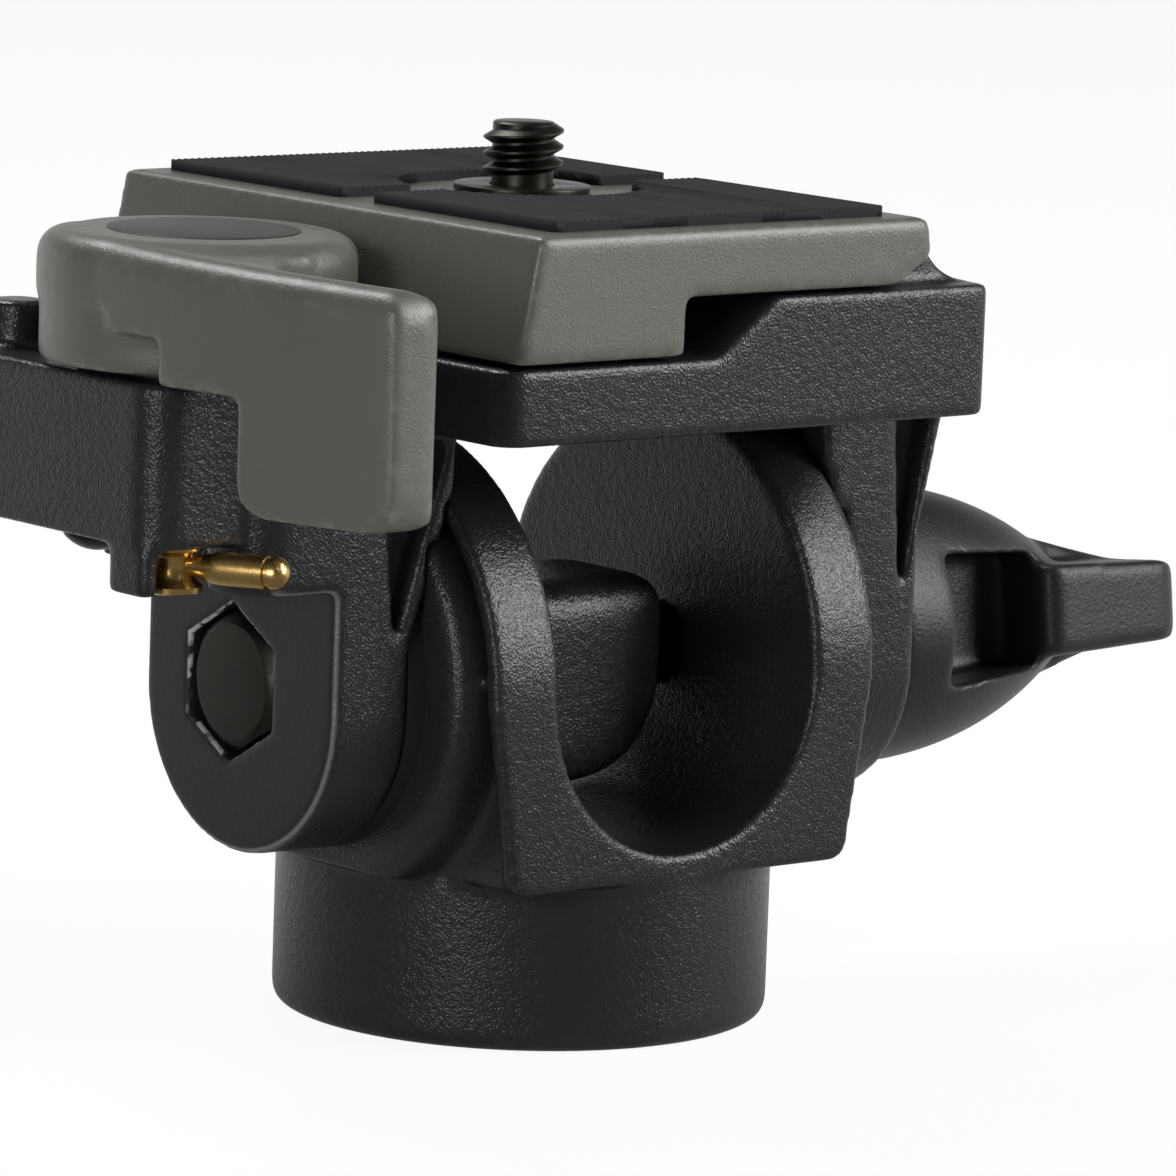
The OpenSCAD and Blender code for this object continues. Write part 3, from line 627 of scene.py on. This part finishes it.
# %% Turned and threaded shapes
def turned(bm, outline, steps=64):
    """Spin an outline of (radius, height) points round the z axis and join its seam."""
    verts = [bm.verts.new((radius, 0, height)) for radius, height in outline]
    edges = [bm.edges.new(pair) for pair in zip(verts, verts[1:])]
    first = len(bm.verts) - len(verts)
    bmesh.ops.spin(bm, geom=verts + edges, cent=(0, 0, 0), axis=(0, 0, 1), angle=math.tau,
                   steps=steps, use_merge=True)
    bm.verts.ensure_lookup_table()
    made = bm.verts[first:]
    bmesh.ops.remove_doubles(bm, verts=made, dist=TOUCHING)


def helical_ridge(bm, profile, pitch, turns, start, steps=40):
    """Sweep a closed profile of (radius, height) points up a helix from start and cap its ends."""
    ring = [bm.verts.new((radius, 0, start + height)) for radius, height in profile]
    edges = [bm.edges.new(pair) for pair in zip(ring, ring[1:] + ring[:1])]
    swept = bmesh.ops.spin(bm, geom=ring + edges, cent=(0, 0, 0), axis=(0, 0, 1),
                           dvec=(0, 0, pitch / steps), angle=math.tau * turns,
                           steps=round(turns * steps))
    last = [item for item in swept["geom_last"] if isinstance(item, bmesh.types.BMVert)]
    bm.faces.new(ring)
    bm.faces.new(last)


def moved_to(bm, place):
    """Point all faces outwards and carry the shape from the z axis to its place."""
    bmesh.ops.recalc_face_normals(bm, faces=bm.faces[:])
    bmesh.ops.translate(bm, verts=bm.verts[:], vec=place)
    return bm


# %% [markdown]
# On the camera screw the thread's last turn is turned down to a cone, so that it finds the hole in
# the camera. The slotted head under the plate keeps its CAD shape: it is cut off the CAD copy.

# %% Camera screw
INCH = 25.4 * MM


def camera_screw():
    low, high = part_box("camera_screw")
    pitch, crest, root = INCH / 20, INCH / 8, 2.45 * MM
    sunk, tip_cone, tip_round = 0.1 * MM, 0.5 * MM, 0.15 * MM
    foot, head_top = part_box("screw_clip")[1].z, low.z + 2.0 * MM
    core_foot = head_top - 0.5 * MM
    bm = merged_copy("camera_screw")
    bmesh.ops.bisect_plane(bm, geom=all_of(bm), dist=TOUCHING,
                           plane_co=(0, 0, head_top), plane_no=(0, 0, 1), clear_outer=True)
    bmesh.ops.translate(bm, verts=bm.verts[:], vec=(-screw_axis.x, -screw_axis.y, 0))
    turned(bm, [(0, core_foot), (root, core_foot), (root, high.z - tip_round),
                (root - tip_round, high.z), (0, high.z)])
    tooth = [(root - sunk, 0), (crest, 0.40 * pitch), (crest, 0.54 * pitch),
             (root - sunk, 0.94 * pitch)]
    helical_ridge(bm, tooth, pitch, (high.z - foot) / pitch - 0.95, foot + 0.02 * MM)
    for vert in bm.verts:
        reach = math.hypot(vert.co.x, vert.co.y)
        most = root + sunk + max(0, high.z - vert.co.z) * (crest - root) / tip_cone
        if vert.co.z > foot and reach > most:
            vert.co.xy *= most / reach
    piece = new_piece("camera_screw_threaded", moved_to(bm, (screw_axis.x, screw_axis.y, 0)),
                      dark_steel, "screw", crease=35)
    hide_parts("camera_screw")
    print(piece.name, "turns:", round((high.z - foot) / pitch, 1))


camera_screw()

# %% [markdown]
# The thread in the foot is cut into the casting, so its ridge starts just inside the bore's wall
# and points inwards. It was tapped after painting and shows bare metal.

# %% Thread in the foot
bare_alloy = metal("bare_alloy", (120, 120, 120), (146, 146, 145), roughness=0.36)


def foot_thread():
    thread = next(mount for mount in frame["record"]["mounts"] if mount["name"] == "monopod_thread")
    wall, depth = INCH * 3 / 16, 10.5 * MM
    pitch, crest, sunk = INCH / 16, wall - 0.82 * MM, wall + 0.2 * MM
    bm = bmesh.new()
    tooth = [(sunk, 0), (sunk, 0.96 * pitch), (crest, 0.56 * pitch), (crest, 0.40 * pitch)]
    helical_ridge(bm, tooth, pitch, depth / pitch - 1.1, 0.5 * MM)
    piece = new_piece("foot_thread", moved_to(bm, (0, 0, 0)), bare_alloy, "base",
                      crease=35)
    print(piece.name, "for mount", thread["name"], "faces:", len(piece.data.polygons))


foot_thread()

# %% [markdown]
# The safety catch is turned brass: a spool that hangs from the housing, and a finger with a ring
# cut near its round tip. Two outlines are spun, and the finger is laid on its side and turned to
# point where the CAD finger points.

# %% Brass catch
FINGER_TURN = math.radians(-60)
FINGER_LENGTH = 8.5
FINGER_TIP = 1.1


def safety_catch():
    low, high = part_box("safety_catch")
    spool_r, finger_r = 2.4 * MM, 1.3 * MM
    spool = bmesh.new()
    heights = [(0, 0), (0.88, 0), (1, 0.12), (1, 0.55), (0.78, 1.0), (0.66, 1.5), (0.66, 2.7),
               (0.80, 3.1), (0.98, 3.3)]
    outline = [(share * spool_r, low.z + height * MM) for share, height in heights]
    outline += [(0.98 * spool_r, high.z - 0.2 * MM), (0.9 * spool_r, high.z), (0, high.z)]
    turned(spool, outline)
    steps = [(0.0, 0.3), (0.58, 0.3), (0.58, 1.9), (0.95, 3.6), (1.0, 4.2), (1.0, 7.75),
             (0.84, 7.85), (0.84, 8.1), (1.0, 8.2), (1.0, FINGER_LENGTH)]
    round_end = [(math.cos(turn), FINGER_LENGTH + FINGER_TIP * math.sin(turn))
                 for turn in np.linspace(0.25, math.pi / 2, 7)]
    finger = bmesh.new()
    turned(finger, [(share * finger_r, along * MM) for share, along in steps + round_end])
    lie = Matrix.Rotation(FINGER_TURN, 3, "Z") @ Matrix.Rotation(math.pi / 2, 3, "Y")
    bmesh.ops.rotate(finger, verts=finger.verts[:], cent=(0, 0, 0), matrix=lie)
    bmesh.ops.translate(finger, verts=finger.verts[:], vec=(0, 0, low.z + 2.1 * MM))
    part = bpy.data.meshes.new("finger_part")
    finger.to_mesh(part)
    finger.free()
    spool.from_mesh(part)
    bpy.data.meshes.remove(part)
    piece = new_piece("safety_catch_turned", moved_to(spool, (catch_axis.x, catch_axis.y, 0)),
                      brass, "catch", crease=40)
    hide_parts("safety_catch")
    print(piece.name, "reach in mm:", FINGER_LENGTH + FINGER_TIP)


safety_catch()

# %% [markdown]
# A flat round inlay is let into the top of the lever's hub. It is one spun outline, standing a
# tenth of a millimetre proud, with a soft rim that catches the light from behind.

# %% Inlay on the lever
INLAY_RADIUS = 7.4 * MM
INLAY_DEPTH = 0.4 * MM
INLAY_PROUD = 0.1 * MM


def lever_inlay():
    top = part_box("qr_lever")[1].z
    finish = new_finish("inlay")
    grain = finish.noise(0.25 * MM)
    dark = finish.mix(grain, screen_colour(40, 37, 33), screen_colour(50, 46, 41))
    plain = finish.principled(Base_Color=dark, Roughness=0.42 + grain * 0.1, Specular_IOR_Level=0.3)
    bm = bmesh.new()
    low, high = top - INLAY_DEPTH, top + INLAY_PROUD
    outline = [(0, low), (INLAY_RADIUS, low), (INLAY_RADIUS, top + 0.04 * MM),
               (INLAY_RADIUS - 0.06 * MM, top + 0.08 * MM), (INLAY_RADIUS - 0.18 * MM, high),
               (0, high)]
    turned(bm, outline, steps=96)
    pivot = joint_place["lever_open"]
    piece = new_piece("lever_inlay", moved_to(bm, (pivot.x, pivot.y, 0)), plain, "lever",
                      crease=40)
    print(piece.name, "faces:", len(piece.data.polygons))


lever_inlay()

# %% [markdown]
# The tilt bolt's head is forged: its flats and its chamfer meet in edges that are slightly broken
# and catch the light. The CAD copy has the right faces, so only its sharp edges are bevelled. The
# button screw and the camera screw's clip get the same.

# %% Hexagon bolt, button screw and clip
LEAST_BEND = math.radians(18)


def broken_edges(node, body, width):
    """A dark steel CAD copy whose sharp edges carry a narrow round."""
    bm = merged_copy(node)
    sharp = [edge for edge in bm.edges if edge.is_manifold and edge.calc_face_angle() > LEAST_BEND]
    bmesh.ops.bevel(bm, geom=sharp, affect="EDGES", offset=width, segments=3, profile=0.5,
                    material=-1, clamp_overlap=True)
    bmesh.ops.recalc_face_normals(bm, faces=bm.faces[:])
    piece = new_piece(node + "_worked", bm, dark_steel, body, crease=60)
    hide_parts(node)
    print(piece.name, "bevelled edges:", len(sharp))


broken_edges("tilt_bolt", "head", 0.14 * MM)
broken_edges("spring_screw", "head", 0.12 * MM)
broken_edges("screw_clip", "screw", 0.10 * MM)

# %% [markdown]
# The little spring under the sprung pin has to give way when the pin goes down. Its copy keeps the
# CAD shape, and the share of its height that the pin's travel leaves is worked out and printed.

# %% Spring under the pin
SPRING_PLAY = 0.05 * MM


def pressed_spring():
    joints = frame["record"]["behaviour"]["joints"]
    press = next(joint for joint in joints if joint["name"] == "trigger_press")
    low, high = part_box("trigger_spring")
    left_over = 1 - (press["range_m"][1] + SPRING_PLAY) / (high.z - low.z)
    bm = merged_copy("trigger_spring")
    bmesh.ops.triangulate(bm, faces=bm.faces[:])
    piece = new_piece("trigger_spring_wound", bm, bright_steel, "head", crease=60)
    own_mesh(piece)
    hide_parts("trigger_spring")
    print(piece.name, "keeps", round(left_over, 2), "of its height")


pressed_spring()

# %% [markdown]
# The rest of the small CAD pieces have the right shape already, so they only change their material.

# %% Finishes of the plain pieces
plain_finishes = {
    "friction_disc_left": fibre,
    "friction_disc_right": fibre,
    "thrust_washer": bright_steel,
    "spring_washer": bright_steel,
    "lever_washer": dark_steel,
    "lever_spring": bright_steel,
    "lever_pivot": dark_steel,
    "trigger_collar": dark_steel,
    "trigger_pin": brass,
    "knob_nut": brass,
}
for node, material in plain_finishes.items():
    mesh = frame["nodes"][node].data
    mesh.materials.clear()
    mesh.materials.append(material)
print("finished", len(plain_finishes), "plain pieces")

# %% [markdown]
# The photograph is a studio shot on white. A tall bright soft box stands in front on the right and
# draws the streaks on the fork, a weak one hangs high on the right, one is on the left, and one
# more hangs overhead at the back and grazes the lever's top. Small bright boxes make black things
# shine where they face the box and stay black elsewhere. An area lamp's brightness is its power
# over pi times its area, so each box is given the brightness that a mirror would show.

# %% Soft boxes
LOOKED_AT = tilt_axis + Vector((0, 0, 12 * MM))


def soft_box(name, direction, distance, width, height, brightness):
    """A rectangular lamp that faces the object from a direction; lengths are in metres."""
    lamp = bpy.data.lights.new(name, "AREA")
    lamp.shape = "RECTANGLE"
    lamp.size, lamp.size_y = width, height
    lamp.energy = brightness * math.pi * width * height
    box = bpy.data.objects.new(name, lamp)
    towards = Vector(direction).normalized()
    turn = (-towards).to_track_quat("-Z", "Y").to_matrix().to_4x4()
    box.matrix_world = Matrix.Translation(LOOKED_AT + towards * distance) @ turn
    scene.collection.objects.link(box)


soft_box("right_box", (0.62, -0.35, 0.70), 0.90, 0.30, 0.30, 6)
soft_box("front_box", (0.63, -0.68, 0.40), 0.95, 0.30, 0.56, 17)
soft_box("left_box", (-0.88, -0.36, 0.18), 0.90, 0.30, 0.30, 11)
soft_box("back_box", (-0.05, 0.55, 0.80), 0.90, 0.35, 0.35, 13)

# %% [markdown]
# The backdrop is white to the camera and in reflections, while it gives dull surfaces less light
# than that. Black pieces need something dark to mirror as well, or they turn grey all over: so in
# reflections only the backdrop behind the object is white, and the rest of the room, in front and
# overhead, is dim.

# %% White backdrop in a dim room
AMBIENT = 0.20
DIM_ROOM = 0.10
BACKDROP_SIDE = (0.15, 0.60)
BACKDROP_TOP = (0.16, 0.40)
backwards = Vector((camera_view.x, camera_view.y, 0)).normalized()


def ray(graph, kind):
    """1 for rays of a kind and 0 for all others."""
    return graph.node("ShaderNodeLightPath", out=f"Is {kind} Ray")


def behind(graph, place, first, last):
    """0 in front of the object and 1 behind it; the change lies between first and last."""
    x, y = [graph.along(axis, place) for axis in "XY"]
    return (x * backwards.x + y * backwards.y).over(first, last)


room = Graph(bpy.data.worlds.new("white_room"))
direction = room.node("ShaderNodeTexCoord", out="Generated")
below_top = 1 - room.along("Z", direction).over(*BACKDROP_TOP)
backdrop = behind(room, direction, *BACKDROP_SIDE) * below_top
plainly_seen = (ray(room, "Camera") + ray(room, "Transmission")).over(0, 1)
mirrored = ray(room, "Glossy") * (DIM_ROOM + backdrop * (1 - DIM_ROOM) - AMBIENT)
light_level = AMBIENT + plainly_seen * (1 - AMBIENT) + mirrored
walls = room.node("ShaderNodeBackground", {}, {"Color": (1, 1, 1, 1), "Strength": light_level})
scene.world = room.ends_in(walls, "ShaderNodeOutputWorld")
scene.view_settings.view_transform = "Standard"
print("made", scene.world.name)

# %% [markdown]
# The table is white in reflections too, but only behind the object, and it keeps a faint shadow
# under the foot. To the camera it is clear, with the white room behind it, so what a tilted head
# lowers past it still shows.

# %% Table under the foot
TABLE_WHITE = (-0.04, 0.10)
FLOOR_GLOW = 0.92
FLOOR_HALF = 6

white = new_finish("white_floor")
matt = white.node("ShaderNodeBsdfDiffuse", {}, {"Color": (0.86, 0.86, 0.86, 1)})
glow = white.node("ShaderNodeEmission", {}, {"Strength": 1.0})
dim = white.node("ShaderNodeEmission", {}, {"Strength": DIM_ROOM})
clear = white.node("ShaderNodeBsdfTransparent")
in_front = ray(white, "Glossy") * (1 - behind(white, white.place(), *TABLE_WHITE))
shown = white.mix_shaders(in_front, white.mix_shaders(ray(white, "Camera"), glow, clear), dim)
direct = ray(white, "Camera") + ray(white, "Glossy") + ray(white, "Transmission")
mixed = white.mix_shaders(direct.over(0, 1) * FLOOR_GLOW, matt, shown)
floor_shape = bmesh.new()
bmesh.ops.create_grid(floor_shape, x_segments=1, y_segments=1, size=FLOOR_HALF)
floor_mesh = bpy.data.meshes.new("studio_floor")
floor_shape.to_mesh(floor_mesh)
floor_shape.free()
floor_mesh.materials.append(white.ends_in(mixed))
floor = bpy.data.objects.new("studio_floor", floor_mesh)
scene.collection.objects.link(floor)
floor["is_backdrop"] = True
print("made", floor.name)

# %% Measure and finish
boxes = {"cad": [list(corner) for corner in cad_box], "visual": [list(corner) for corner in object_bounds()]}
for name, (low, high) in boxes.items():
    print(name, "size in mm:", [round((b - a) / MM, 2) for a, b in zip(low, high)])
